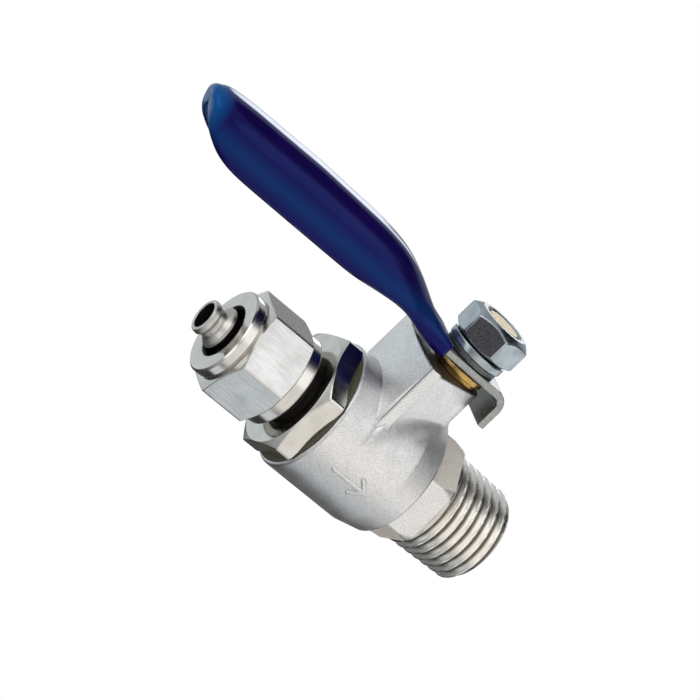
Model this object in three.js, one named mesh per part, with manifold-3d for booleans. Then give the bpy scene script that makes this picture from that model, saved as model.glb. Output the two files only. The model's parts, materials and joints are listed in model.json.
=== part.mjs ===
// Small quarter-turn ball valve: male taper thread at one end, hose barb and clamp nut at the other.
// Millimetres, +Z up the stem, +X out of the male thread. The origin is the centre of the thread's end face.
// Every piece is built about the stem axis, and one group moves the assembly onto the origin.
import * as THREE from 'three';
import { mergeVertices } from 'three/addons/utils/BufferGeometryUtils.js';
import Module from 'manifold-3d';

const wasm = await Module();
wasm.setup();

// Driving dimensions, x measured from the stem axis and z from the flow axis.
const THREAD_FACE_X = 18;
const BODY_REAR_X = -10.1;
const BARREL_R = 8.75;
const TAPER_START_X = 0.5;
const BODY_FRONT_X = 9.7;
const BORE_R = 3.5;
const CHAMBER_R = 6.0;
const CHAMBER_HALF = 5.0;
const SOCKET_R = 6.55;
const SOCKET_END_X = -5.6;
const WRENCH_FLATS = 13.2;
const WRENCH_START_X = 5.0;
const WRENCH_END_X = 8.9;

const PIPE_MAJOR_R = 6.58;
const PIPE_DEPTH = 0.86;
const PIPE_PITCH = 1.337;
const PIPE_TAPER = 1 / 32;

const BOSS_R = 3.85;
const BOSS_TOP_Z = 13.9;
const STEM_BORE_R = 2.6;
const FLANGE_POCKET_R = 3.25;
const FLANGE_POCKET_Z = 7.1;
const LUG = { edgeX: -6.05, frontX: -4.5, halfY: 7.55, bulge: 0.6, draft: 0.13, z0: 3.5, z1: 14.2 };

const BALL_R = 5.0;
const PORT_R = 2.5;
const STEM_R = 2.45;
const STEM_TOP_Z = 22.05;
const STEM_FLANGE_R = 3.15;
const FLANGE_Z = 6.05;
const STEM_FLATS = 3.6;
const O_RING_R = 0.42;
const O_RING_ZS = [8.6, 10.9];

const COLLAR_R = 3.5;
const COLLAR_TOP_Z = 15.25;
const SHEET = 0.95;
const PLATE_Z = 15.4;
const PLATE_HALF_WIDTH = 3.8;
const TAB = { x0: 5.1, z0: 11.6, bend: 2.0 };
const VINYL = 0.5;
const VINYL_END_X = -4;
const LEVER_TIP_X = -45.8;
const LEVER_CORNER_R = 3;

const FLAT_WASHER_Z = 16.45;
const SPRING_WASHER_Z = 17.15;
const STEM_NUT_Z = 18.15;
const STEM_NUT_FLATS = 7.85;
const STEM_NUT_TURN = -3;

const ADAPTER = {
  tip: -27.6, ridge: -24.8, shoulder: -22.2, stud: -20.8, hex0: -13.2, hex1: -10.4, end: -5.05,
};
const ADAPTER_FLATS = 15.4;
const ADAPTER_TURN = 4.5;
const GASKET_R = 8.4;
const ADAPTER_BORE_R = 1.65;
const STUD_R = 5.0;
const NUT = { front: -24.5, collar: -22.95, hexEnd: -16.2, rear: -14.4 };
const NUT_FLATS = 12.4;
const NUT_TURN = 30;

const ROUND = 40;
const FINE = 28;
const SMALL = 20;

// ---- materials ----
const finish = (color, roughness, metalness) =>
  new THREE.MeshStandardMaterial({ color, roughness, metalness });
const MATERIALS = {
  castNickel: finish(0xc4c6c8, 0.55, 0.9),
  nickel: finish(0xcfd0d0, 0.22, 1.0),
  brass: finish(0xc79a4b, 0.3, 1.0),
  zinc: finish(0x9fb0ba, 0.35, 0.95),
  leverSteel: finish(0xb9bec0, 0.35, 0.95),
  darkSteel: finish(0x3a3c3d, 0.5, 0.8),
  vinyl: finish(0x1b2b8c, 0.25, 0.0),
  teflon: finish(0xf2f2ee, 0.5, 0.0),
  rubber: finish(0x1b1b1b, 0.8, 0.0),
  gasket: finish(0x5d5c3a, 0.7, 0.1),
};

// ---- closed meshes and solids ----
function signedVolume(positions, triangles) {
  const a = new THREE.Vector3();
  const b = new THREE.Vector3();
  const c = new THREE.Vector3();
  let volume = 0;
  for (let i = 0; i < triangles.length; i += 3) {
    a.fromArray(positions, triangles[i] * 3);
    b.fromArray(positions, triangles[i + 1] * 3);
    c.fromArray(positions, triangles[i + 2] * 3);
    volume += a.dot(b.cross(c));
  }
  return volume;
}

function solidOf(geometry) {
  const bare = geometry.clone();
  bare.deleteAttribute('normal');
  bare.deleteAttribute('uv');
  const merged = mergeVertices(bare, 1e-4);
  const index = merged.index.array;
  const triangles = [];
  for (let i = 0; i < index.length; i += 3) {
    const [a, b, c] = [index[i], index[i + 1], index[i + 2]];
    if (a !== b && b !== c && c !== a) triangles.push(a, b, c);
  }
  const positions = merged.attributes.position.array;
  if (signedVolume(positions, triangles) < 0) triangles.reverse();
  const vertProperties = new Float32Array(positions);
  const triVerts = new Uint32Array(triangles);
  return new wasm.Manifold(new wasm.Mesh({ numProp: 3, vertProperties, triVerts }));
}

function piece(name, material, solid) {
  const mesh = solid.getMesh();
  const geometry = new THREE.BufferGeometry();
  geometry.setAttribute('position', new THREE.Float32BufferAttribute(mesh.vertProperties, 3));
  geometry.setIndex(Array.from(mesh.triVerts));
  geometry.computeVertexNormals();
  const result = new THREE.Mesh(geometry, material);
  result.name = name;
  return result;
}

// A turned solid: the profile is a list of [place along the axis, radius].
function lathe(profile, segments) {
  const points = profile.map(([along, radius]) => new THREE.Vector2(radius, along));
  return new THREE.LatheGeometry(points, segments);
}

const turnedX = (profile, segments = ROUND) => solidOf(lathe(profile, segments).rotateZ(-Math.PI / 2));
const turnedZ = (profile, segments = ROUND) => solidOf(lathe(profile, segments).rotateX(Math.PI / 2));
const discProfile = (from, to, radius) => [[from, 0], [from, radius], [to, radius], [to, 0]];
const ringProfile = (from, to, inner, outer) =>
  [[from, inner], [from, outer], [to, outer], [to, inner], [from, inner]];
const rodX = (x0, x1, radius, segments) => turnedX(discProfile(x0, x1, radius), segments);
const rodZ = (z0, z1, radius, segments) => turnedZ(discProfile(z0, z1, radius), segments);

function box(x0, x1, y0, y1, z0, z1) {
  const geometry = new THREE.BoxGeometry(x1 - x0, y1 - y0, z1 - z0);
  return solidOf(geometry.translate((x0 + x1) / 2, (y0 + y1) / 2, (z0 + z1) / 2));
}

function hexPrism(from, to, flats) {
  const radius = flats / Math.sqrt(3);
  const corners = [0, 1, 2, 3, 4, 5].map((i) => {
    const angle = (i * Math.PI) / 3;
    return new THREE.Vector2(radius * Math.cos(angle), radius * Math.sin(angle));
  });
  const depth = to - from;
  const geometry = new THREE.ExtrudeGeometry(new THREE.Shape(corners), { depth, bevelEnabled: false });
  return geometry.translate(0, 0, from);
}

// Hexagons start with a vertex on +X and are turned about their axis by an angle in degrees.
const hexZ = (from, to, flats, turn) =>
  solidOf(hexPrism(from, to, flats).rotateZ(THREE.MathUtils.degToRad(turn)));
function hexX(from, to, flats, turn) {
  const prism = hexPrism(from, to, flats).rotateY(-Math.PI / 2).scale(-1, 1, 1);
  return solidOf(prism.rotateX(THREE.MathUtils.degToRad(turn)));
}

// ---- threads ----
// A ridge swept along a helix about X; it is joined to a core and trimmed by an outline.
function helixRidge(x0, x1, crest, depth, pitch) {
  const turns = (x1 - x0) / pitch;
  const steps = Math.round(turns * FINE);
  const halfBase = pitch * 0.47;
  const halfCrest = pitch * 0.09;
  const section = [[-halfBase, -depth - 0.08], [-halfCrest, 0], [halfCrest, 0], [halfBase, -depth - 0.08]];
  const positions = [];
  for (let i = 0; i <= steps; i += 1) {
    const angle = (i / FINE) * Math.PI * 2;
    const x = x0 + (i / FINE) * pitch;
    for (const [dx, dr] of section) {
      const radius = crest(x + dx) + dr;
      positions.push(x + dx, -radius * Math.sin(angle), radius * Math.cos(angle));
    }
  }
  const count = section.length;
  const index = [];
  for (let i = 0; i < steps; i += 1) {
    for (let j = 0; j < count; j += 1) {
      const a = i * count + j;
      const b = i * count + ((j + 1) % count);
      index.push(a, b, a + count, b, b + count, a + count);
    }
  }
  const last = steps * count;
  index.push(0, 2, 1, 0, 3, 2);
  index.push(last, last + 1, last + 2, last, last + 2, last + 3);
  const geometry = new THREE.BufferGeometry();
  geometry.setAttribute('position', new THREE.Float32BufferAttribute(positions, 3));
  geometry.setIndex(index);
  return solidOf(geometry);
}

function pipeThread() {
  const start = BODY_FRONT_X - 1;
  const crest = (x) => PIPE_MAJOR_R - (x - BODY_FRONT_X) * PIPE_TAPER;
  const ridge = helixRidge(start, THREAD_FACE_X + PIPE_PITCH, crest, PIPE_DEPTH, PIPE_PITCH);
  const rootR = PIPE_MAJOR_R - PIPE_DEPTH;
  const core = rodX(start - 1, THREAD_FACE_X, rootR);
  const outline = turnedX([
    [start - 1, 0], [start - 1, PIPE_MAJOR_R + 0.1], [THREAD_FACE_X - 1.1, PIPE_MAJOR_R + 0.1],
    [THREAD_FACE_X, rootR - 0.3], [THREAD_FACE_X, 0],
  ]);
  return core.add(ridge).intersect(outline);
}

// ---- valve body ----
function bodyOutside() {
  const barrel = turnedX([
    [BODY_REAR_X, 0], [BODY_REAR_X, BARREL_R - 0.4], [BODY_REAR_X + 0.4, BARREL_R],
    [TAPER_START_X, BARREL_R], [WRENCH_START_X, BARREL_R - 0.85], [WRENCH_END_X - 1.7, BARREL_R - 1.1],
    [WRENCH_END_X, WRENCH_FLATS / 2], [BODY_FRONT_X, WRENCH_FLATS / 2 - 0.5], [BODY_FRONT_X, 0],
  ]);
  const boss = turnedZ([
    [0, 0], [0, BOSS_R + 2.2], [BARREL_R - 1.2, BOSS_R + 2.2], [BARREL_R - 0.4, BOSS_R + 0.9],
    [BARREL_R + 0.6, BOSS_R + 0.25], [BARREL_R + 1.8, BOSS_R], [BOSS_TOP_Z, BOSS_R], [BOSS_TOP_Z, 0],
  ]);
  return barrel.add(boss).add(stopLug()).add(bossWeb());
}

// A wall tangent to the boss joins it to the lug's near edge. The far side stays open for the lever's tab.
function bossWeb() {
  const edge = [LUG.frontX - 0.1, 0.1 - LUG.halfY];
  const angle = Math.atan2(edge[1], edge[0]) + Math.acos(BOSS_R / Math.hypot(...edge));
  const touch = [BOSS_R * Math.cos(angle), BOSS_R * Math.sin(angle)];
  const farY = BOSS_R * 0.6;
  const outline = [[edge[0], farY], [0, farY], [0, 0], touch, edge];
  const sections = [LUG.z0, BOSS_TOP_Z].map((z) => ({ x: z, points: outline }));
  return loft(sections, ([x, y], z) => [x, y, z]);
}

// The stop lug stands across the barrel; its rear face bulges and leans outwards towards the barrel.
function stopLug() {
  const outline = (z) => {
    const middle = LUG.bulge + LUG.draft * (LUG.z1 - z);
    const rear = [-1, -0.75, -0.4, 0, 0.4, 0.75, 1].map((share) => {
      return [LUG.edgeX - middle * (1 - share ** 2), share * LUG.halfY];
    });
    return [...rear, [LUG.frontX, LUG.halfY], [LUG.frontX, -LUG.halfY]];
  };
  const sections = [LUG.z0, LUG.z1].map((z) => ({ x: z, points: outline(z) }));
  return loft(sections, ([x, y], z) => [x, y, z]);
}

function wrenchCut() {
  const ring = rodX(WRENCH_START_X, BODY_FRONT_X + 0.1, BARREL_R + 1);
  return ring.subtract(hexX(WRENCH_START_X - 1, BODY_FRONT_X + 1, WRENCH_FLATS, 0));
}

// A raised arrow on the near side shows the flow direction.
function flowArrow() {
  const outline = [
    [-3.4, -0.35], [1.0, -0.35], [1.0, -1.3], [3.6, 0], [1.0, 1.3], [1.0, 0.35], [-3.4, 0.35],
  ];
  const shape = new THREE.Shape(outline.map(([x, y]) => new THREE.Vector2(x, y)));
  const geometry = new THREE.ExtrudeGeometry(shape, { depth: 3, bevelEnabled: false });
  geometry.rotateX(Math.PI / 2).translate(-2.6, -6.3, 0);
  const arrow = solidOf(geometry.rotateX(THREE.MathUtils.degToRad(14)));
  return arrow.intersect(rodX(-8, TAPER_START_X + 2, BARREL_R + 0.25));
}

function bodyInside() {
  const flow = turnedX([
    [BODY_REAR_X - 1, 0], [BODY_REAR_X - 1, SOCKET_R], [SOCKET_END_X, SOCKET_R], [SOCKET_END_X, CHAMBER_R],
    [CHAMBER_HALF, CHAMBER_R], [CHAMBER_HALF, BORE_R], [THREAD_FACE_X - 0.6, BORE_R],
    [THREAD_FACE_X, BORE_R + 0.6], [THREAD_FACE_X + 1, BORE_R + 0.6], [THREAD_FACE_X + 1, 0],
  ]);
  const stemHole = turnedZ([
    [0, 0], [0, FLANGE_POCKET_R], [FLANGE_POCKET_Z, FLANGE_POCKET_R], [FLANGE_POCKET_Z, STEM_BORE_R],
    [BOSS_TOP_Z + 1, STEM_BORE_R], [BOSS_TOP_Z + 1, 0],
  ]);
  return flow.add(stemHole);
}

function valveBody() {
  const outside = bodyOutside().subtract(wrenchCut()).add(pipeThread()).add(flowArrow());
  return piece('valve_body', MATERIALS.castNickel, outside.subtract(bodyInside()));
}

// ---- tube end ----
function chamferedHexX(x0, x1, flats, turn) {
  const corner = flats / Math.sqrt(3);
  const flatR = flats / 2 - 0.1;
  const slope = (corner - flatR) * Math.tan(Math.PI / 6);
  const outline = turnedX([
    [x0, 0], [x0, flatR], [x0 + slope, corner + 0.1], [x1, corner + 0.1], [x1, 0],
  ]);
  return hexX(x0, x1, flats, turn).intersect(outline);
}

function tubeAdapter() {
  const a = ADAPTER;
  const turned = turnedX([
    [a.tip, 0], [a.tip, 2.05], [a.tip + 0.2, 2.25], [a.ridge - 1.2, 2.35], [a.ridge, 2.6],
    [a.ridge + 0.1, 2.05], [a.shoulder, 2.05], [a.stud, 3.6], [a.stud, STUD_R - 0.4],
    [a.stud + 0.4, STUD_R], [a.hex0 - 0.8, STUD_R], [a.hex0 - 0.8, STUD_R - 0.6],
    [a.hex0 + 0.1, STUD_R - 0.6], [a.hex0 + 0.1, STUD_R + 1],
    [a.hex1 - 0.1, STUD_R + 1], [a.hex1 - 0.1, SOCKET_R - 0.05], [SOCKET_END_X - 0.1, SOCKET_R - 0.05],
    [SOCKET_END_X - 0.1, CHAMBER_R - 0.1], [a.end, CHAMBER_R - 0.1], [a.end, 0],
  ]);
  const hexagon = chamferedHexX(a.hex0, a.hex1, ADAPTER_FLATS, ADAPTER_TURN);
  const bore = turnedX([
    [a.tip - 1, 0], [a.tip - 1, ADAPTER_BORE_R], [a.hex0, ADAPTER_BORE_R], [a.hex0 + 1, PORT_R],
    [a.end + 1, PORT_R], [a.end + 1, 0],
  ]);
  return piece('tube_adapter', MATERIALS.nickel, turned.add(hexagon).subtract(bore));
}

function tubeNut() {
  const n = NUT;
  const corner = NUT_FLATS / Math.sqrt(3);
  const outline = turnedX([
    [n.front, 0], [n.front, 5.4], [n.front + 0.25, 5.65], [n.collar - 0.3, 5.65], [n.collar - 0.3, 5.5],
    [n.collar, 5.5], [n.collar + 0.1, NUT_FLATS / 2], [n.collar + 0.45, corner + 0.1],
    [n.hexEnd - 0.4, corner + 0.1], [n.hexEnd + 0.6, 6.1], [n.rear - 0.3, 6.1], [n.rear, 5.8], [n.rear, 0],
  ]);
  const hexagon = hexX(n.collar - 0.2, n.hexEnd + 0.3, NUT_FLATS, NUT_TURN);
  const rounds = turnedX([
    [n.front, 0], [n.front, 5.4], [n.front + 0.25, 5.65], [n.collar - 0.4, 5.65], [n.collar - 0.4, 5.5],
    [n.hexEnd, 5.5], [n.hexEnd, 6.1], [n.rear - 0.3, 6.1], [n.rear, 5.8], [n.rear, 0],
  ]);
  const inside = turnedX([
    [n.front - 1, 0], [n.front - 1, 3.75], [n.front, 3.75], [n.front + 0.45, 3.3], [n.front + 1.9, 3.3],
    [ADAPTER.stud - 0.4, STUD_R + 0.06], [n.rear + 1, STUD_R + 0.06], [n.rear + 1, 0],
  ]);
  return piece('tube_nut', MATERIALS.nickel, hexagon.intersect(outline).add(rounds).subtract(inside));
}

function adapterGasket() {
  const ring = ringProfile(ADAPTER.hex1 + 0.02, BODY_REAR_X - 0.02, SOCKET_R + 0.05, GASKET_R);
  return piece('adapter_gasket', MATERIALS.gasket, turnedX(ring));
}

// ---- ball, seats and stem ----
function ball() {
  const sphere = solidOf(new THREE.SphereGeometry(BALL_R, FINE, FINE / 2));
  const port = rodX(-BALL_R - 1, BALL_R + 1, PORT_R, FINE);
  const slot = box(-1.05, 1.05, -BALL_R, BALL_R, 3.5, BALL_R + 1);
  return piece('ball', MATERIALS.nickel, sphere.subtract(port).subtract(slot));
}

function seat(name, side) {
  const touchR = BALL_R + 0.09;
  const face = [32, 40, 48, 56].map((degrees) => {
    const angle = THREE.MathUtils.degToRad(degrees);
    return [side * touchR * Math.cos(angle), touchR * Math.sin(angle)];
  });
  const back = side * (CHAMBER_HALF - 0.03);
  const rim = side * touchR * Math.cos(THREE.MathUtils.degToRad(56));
  const profile = [...face, [rim, CHAMBER_R - 0.08], [back, CHAMBER_R - 0.08], [back, face[0][1]], face[0]];
  return piece(name, MATERIALS.teflon, turnedX(profile, FINE));
}

function stem() {
  const grooves = O_RING_ZS.flatMap((z) => [
    [z - 0.6, STEM_R], [z - 0.6, STEM_R - 0.75], [z + 0.6, STEM_R - 0.75], [z + 0.6, STEM_R],
  ]);
  const shaft = turnedZ([
    [FLANGE_Z, 0], [FLANGE_Z, STEM_FLANGE_R], [FLANGE_Z + 0.6, STEM_FLANGE_R], [FLANGE_Z + 0.6, STEM_R],
    ...grooves, [STEM_TOP_Z - 0.3, STEM_R], [STEM_TOP_Z, STEM_R - 0.3], [STEM_TOP_Z, 0],
  ], FINE);
  const tang = box(-0.95, 0.95, -2.2, 2.2, 3.6, FLANGE_Z + 0.1);
  const shoulderZ = COLLAR_TOP_Z - 0.1;
  const flatTopZ = PLATE_Z + SHEET + 0.1;
  const nearCut = box(-4, 4, STEM_FLATS / 2, 4, shoulderZ, flatTopZ);
  const farCut = box(-4, 4, -4, -STEM_FLATS / 2, shoulderZ, flatTopZ);
  return piece('stem', MATERIALS.brass, shaft.add(tang).subtract(nearCut).subtract(farCut));
}

function thrustWasher() {
  const ring = ringProfile(FLANGE_Z + 0.64, FLANGE_POCKET_Z - 0.03, STEM_R + 0.1, STEM_FLANGE_R);
  return piece('thrust_washer', MATERIALS.teflon, turnedZ(ring, FINE));
}

function oRing(name, z) {
  const centreR = (STEM_R - 0.75 + STEM_BORE_R) / 2 - 0.01;
  const profile = [];
  for (let i = 0; i <= 8; i += 1) {
    const angle = (i / 8) * Math.PI * 2;
    profile.push([z + O_RING_R * Math.sin(angle), centreR + (O_RING_R - 0.03) * Math.cos(angle)]);
  }
  return piece(name, MATERIALS.rubber, turnedZ(profile, SMALL));
}

function stemCollar() {
  const low = BOSS_TOP_Z + 0.05;
  const profile = [
    [low, STEM_R + 0.1], [low, COLLAR_R - 0.15], [low + 0.15, COLLAR_R], [COLLAR_TOP_Z - 0.15, COLLAR_R],
    [COLLAR_TOP_Z, COLLAR_R - 0.15], [COLLAR_TOP_Z, STEM_R + 0.1], [low, STEM_R + 0.1],
  ];
  return piece('stem_collar', MATERIALS.brass, turnedZ(profile, FINE));
}

// ---- lever ----
// Sections along the lever: x, half width, crown height and lower edge of the bare sheet.
const LEVER_SECTIONS = [
  [LEVER_TIP_X, 1.6, 21.0, 20.4],
  [-45.4, 2.5, 21.2, 19.7],
  [-44.7, 3.2, 21.4, 18.5],
  [-43.7, 3.7, 21.5, 17.4],
  [-42.1, 3.95, 21.6, 16.6],
  [-40, 4, 21.7, 16.05],
  [-38, 4, 21.7, 15.9],
  [-30, 4, 21.8, 15.9],
  [-19.8, 4, 21.5, 15.95],
  [-16.9, 4, 21.2, 16.4],
  [-15.3, 3.95, 20.9, 16.6],
  [-13.2, 3.9, 20.2, 16.8],
  [-11.1, 3.85, 19.2, 16.7],
  [-9.3, 3.8, 18.2, 16.1],
  [-7.6, 3.75, 17.4, 15.6],
  [-5.5, 3.65, 16.7, 15.35],
  [VINYL_END_X, PLATE_HALF_WIDTH, PLATE_Z + SHEET, PLATE_Z],
  [TAB.x0 + SHEET - TAB.bend, PLATE_HALF_WIDTH, PLATE_Z + SHEET, PLATE_Z],
];
const ARC_STEPS = 4;
// Where the sheet is flat or closes up, its section keeps a shallow hollow of this size.
const MIN_RISE = 0.1;
const MIN_INNER_HALF = 0.45;

// The open channel section: up the near flange, over the crown, down, and back inside.
function channelSection(halfWidth, crown, lowerEdge, grow) {
  const outside = archPoints(halfWidth + grow, crown + grow, lowerEdge - grow, LEVER_CORNER_R + grow);
  const inset = SHEET + grow;
  const innerHalf = Math.max(halfWidth - inset, MIN_INNER_HALF - grow / 2);
  const innerCrown = Math.max(crown - inset, lowerEdge - grow + MIN_RISE);
  const inside = archPoints(innerHalf, innerCrown, lowerEdge - grow, LEVER_CORNER_R - inset);
  return outside.concat(inside.reverse());
}

function archPoints(halfWidth, crown, lowerEdge, cornerR) {
  const radius = Math.max(0, Math.min(cornerR, halfWidth, (crown - lowerEdge) * 0.85));
  const side = [[halfWidth, lowerEdge]];
  for (let i = 0; i <= ARC_STEPS; i += 1) {
    const angle = (i / ARC_STEPS) * (Math.PI / 2);
    side.push([halfWidth - radius + radius * Math.cos(angle), crown - radius + radius * Math.sin(angle)]);
  }
  const mirrored = side.map(([y, z]) => [-y, z]);
  return mirrored.concat(side.slice().reverse());
}

function loft(sections, place = ([y, z], x) => [x, y, z]) {
  const count = sections[0].points.length;
  const positions = [];
  for (const { x, points } of sections) {
    for (const point of points) positions.push(...place(point, x));
  }
  const index = [];
  for (let i = 0; i + 1 < sections.length; i += 1) {
    for (let j = 0; j < count; j += 1) {
      const a = i * count + j;
      const b = i * count + ((j + 1) % count);
      index.push(a, a + count, b, b, a + count, b + count);
    }
  }
  for (const [ring, flip] of [[0, false], [sections.length - 1, true]]) {
    const outline = sections[ring].points.map(([u, v]) => new THREE.Vector2(u, v));
    for (const [a, b, c] of THREE.ShapeUtils.triangulateShape(outline, [])) {
      const [p, q, r] = [a, b, c].map((k) => ring * count + k);
      if (flip) index.push(p, q, r);
      else index.push(p, r, q);
    }
  }
  const geometry = new THREE.BufferGeometry();
  geometry.setAttribute('position', new THREE.Float32BufferAttribute(positions, 3));
  geometry.setIndex(index);
  return solidOf(geometry);
}

function leverLoft(grow, endX) {
  const sections = [];
  for (const [x, halfWidth, crown, lowerEdge] of LEVER_SECTIONS) {
    if (x > endX) break;
    const place = x === LEVER_TIP_X ? x - grow : x;
    sections.push({ x: place, points: channelSection(halfWidth, crown, lowerEdge, grow) });
  }
  return loft(sections);
}

function stopTab() {
  const outer = TAB.x0 + SHEET;
  const top = PLATE_Z + SHEET;
  const bendX = outer - TAB.bend;
  const shape = new THREE.Shape();
  shape.moveTo(bendX - 0.2, top);
  shape.absarc(bendX, top - TAB.bend, TAB.bend, Math.PI / 2, 0, true);
  shape.lineTo(outer, TAB.z0);
  shape.lineTo(TAB.x0, TAB.z0);
  shape.lineTo(TAB.x0, PLATE_Z - 0.35);
  shape.lineTo(TAB.x0 - 0.35, PLATE_Z);
  shape.lineTo(bendX - 0.2, PLATE_Z);
  const depth = PLATE_HALF_WIDTH * 2;
  const geometry = new THREE.ExtrudeGeometry(shape, { depth, bevelEnabled: false, curveSegments: 6 });
  return solidOf(geometry.rotateX(Math.PI / 2).translate(0, PLATE_HALF_WIDTH, 0));
}

function lever() {
  const hole = rodZ(PLATE_Z - 1, PLATE_Z + SHEET + 1, STEM_R + 0.08, FINE);
  const flats = box(-4, 4, -STEM_FLATS / 2 - 0.06, STEM_FLATS / 2 + 0.06, PLATE_Z - 1, PLATE_Z + SHEET + 1);
  const sheet = leverLoft(0, Infinity).add(stopTab());
  return piece('lever', MATERIALS.leverSteel, sheet.subtract(hole.intersect(flats)));
}

function leverSleeve() {
  const skin = leverLoft(VINYL, VINYL_END_X).subtract(leverLoft(0.02, 0));
  return piece('lever_sleeve', MATERIALS.vinyl, skin);
}

// ---- washers and nut ----
function flatWasher() {
  const ring = ringProfile(FLAT_WASHER_Z, SPRING_WASHER_Z - 0.03, STEM_R + 0.1, 3.85);
  return piece('flat_washer', MATERIALS.darkSteel, turnedZ(ring, FINE));
}

function springWasher() {
  const ring = turnedZ(ringProfile(SPRING_WASHER_Z, STEM_NUT_Z - 0.05, STEM_R + 0.15, 3.9), FINE);
  const split = box(-0.35, 0.35, 0, 5, SPRING_WASHER_Z - 1, STEM_NUT_Z + 1);
  return piece('spring_washer', MATERIALS.zinc, ring.subtract(split));
}

function stemNut() {
  const z0 = STEM_NUT_Z;
  const z1 = z0 + 4;
  const corner = STEM_NUT_FLATS / Math.sqrt(3) + 0.05;
  const flatR = STEM_NUT_FLATS / 2 - 0.1;
  const slope = (corner - flatR) * Math.tan(Math.PI / 6);
  const outline = turnedZ([
    [z0, 0], [z0, flatR], [z0 + slope, corner], [z1 - slope, corner], [z1, flatR], [z1, 0],
  ]);
  const hexagon = hexZ(z0, z1, STEM_NUT_FLATS, 30 + STEM_NUT_TURN).intersect(outline);
  const bore = rodZ(z0 - 1, z1 + 1, STEM_R + 0.06, FINE);
  return piece('stem_nut', MATERIALS.zinc, hexagon.subtract(bore));
}

// ---- assembly ----
const assembly = new THREE.Group();
assembly.position.x = -THREAD_FACE_X;
assembly.add(
  valveBody(), tubeAdapter(), adapterGasket(), tubeNut(), ball(),
  seat('seat_inlet', -1), seat('seat_outlet', 1),
  stem(), thrustWasher(), oRing('stem_o_ring_lower', O_RING_ZS[0]), oRing('stem_o_ring_upper', O_RING_ZS[1]),
  stemCollar(), lever(), leverSleeve(), flatWasher(), springWasher(), stemNut(),
);
const valve = new THREE.Group();
valve.add(assembly);

export default valve;
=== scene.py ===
"""Looks for the small lever ball valve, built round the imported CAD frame.

Dimensions are millimetres, x measured from the stem axis along the flow axis and z up the stem.
place() turns them into the frame's metres.
"""

import json
import math

import bmesh
import bpy
import numpy as np
from mathutils import Matrix, Vector


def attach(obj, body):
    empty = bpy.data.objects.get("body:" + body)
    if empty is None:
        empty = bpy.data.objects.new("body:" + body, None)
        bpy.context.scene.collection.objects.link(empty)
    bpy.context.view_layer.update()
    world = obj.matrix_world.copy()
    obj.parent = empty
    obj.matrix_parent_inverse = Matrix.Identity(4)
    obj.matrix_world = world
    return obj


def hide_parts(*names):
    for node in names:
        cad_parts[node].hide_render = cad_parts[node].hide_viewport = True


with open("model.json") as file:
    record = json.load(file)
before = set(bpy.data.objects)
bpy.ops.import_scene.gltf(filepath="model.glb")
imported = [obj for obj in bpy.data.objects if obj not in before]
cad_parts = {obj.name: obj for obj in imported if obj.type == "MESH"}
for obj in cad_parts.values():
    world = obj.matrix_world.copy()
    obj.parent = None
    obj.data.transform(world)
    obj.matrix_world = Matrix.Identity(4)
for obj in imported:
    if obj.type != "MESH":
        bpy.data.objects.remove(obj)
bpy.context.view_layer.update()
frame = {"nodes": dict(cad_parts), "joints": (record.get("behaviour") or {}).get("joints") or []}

MM = 0.001
LEVER_JOINT = next(j for j in frame["joints"] if j["name"] == "lever_turn")
STEM_AXIS_X = LEVER_JOINT["pos_m"][0] / MM

# Body
REAR_X, BARREL_R, TAPER_X = -10.1, 8.75, 1.3
FRONT_X, FRONT_R = 8.6, 7.25
THREAD_END_X, BORE_R, CHAMBER_R = 18.0, 3.5, 6.0
SOCKET_R, SOCKET_X = 6.55, -5.6
WRENCH_X, WRENCH_FLATS = 4.6, 13.2
PIPE_R, PIPE_DEPTH, PIPE_PITCH, PIPE_TAPER = 6.55, 0.82, 1.337, 1 / 32
BOSS_R, BOSS_TOP = 3.85, 13.9
STEM_HOLE_R = 2.6
FLANGE_POCKET_R, FLANGE_POCKET_Z = 3.25, 7.1
LUG_X, LUG_FRONT_X, LUG_HALF, LUG_TOP = -6.05, -4.5, 7.55, 14.2
LUG_BULGE, LUG_DRAFT, LUG_ROOT_Z = 0.6, 0.13, 3.0
BOSS_FILLET = 1.4

# Lever
SHEET, VINYL, VINYL_END_X = 0.95, 0.5, -4.0
PLATE_Z, PLATE_HALF = 15.4, 3.8
TAB_X, TAB_Z, TAB_BEND = 5.1, 11.6, 2.0
LEVER_TIP_X, LEVER_CORNER = -45.8, 3.0
# Stations along the lever: x, half width, crown height and lower edge of the bare sheet.
LEVER_STATIONS = np.array([
    (-46.5, 0.9, 20.9, 20.5), (-45.8, 1.6, 21.0, 20.4), (-45.4, 2.5, 21.2, 19.7), (-44.7, 3.2, 21.4, 18.5),
    (-43.7, 3.7, 21.5, 17.4), (-42.1, 3.95, 21.6, 16.6), (-40.0, 4.0, 21.7, 16.05), (-38.0, 4.0, 21.7, 15.9),
    (-30.0, 4.0, 21.8, 15.9), (-19.8, 4.0, 21.5, 15.95), (-16.9, 4.0, 21.2, 16.4), (-15.3, 3.95, 20.9, 16.6),
    (-13.2, 3.9, 20.2, 16.8), (-11.1, 3.85, 19.2, 16.7), (-9.3, 3.8, 18.2, 16.1), (-7.6, 3.75, 17.4, 15.6),
    (-5.5, 3.75, 16.7, 15.38), (-4.0, 3.8, 16.35, 15.4), (8.0, 3.8, 16.35, 15.4),
])

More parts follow.
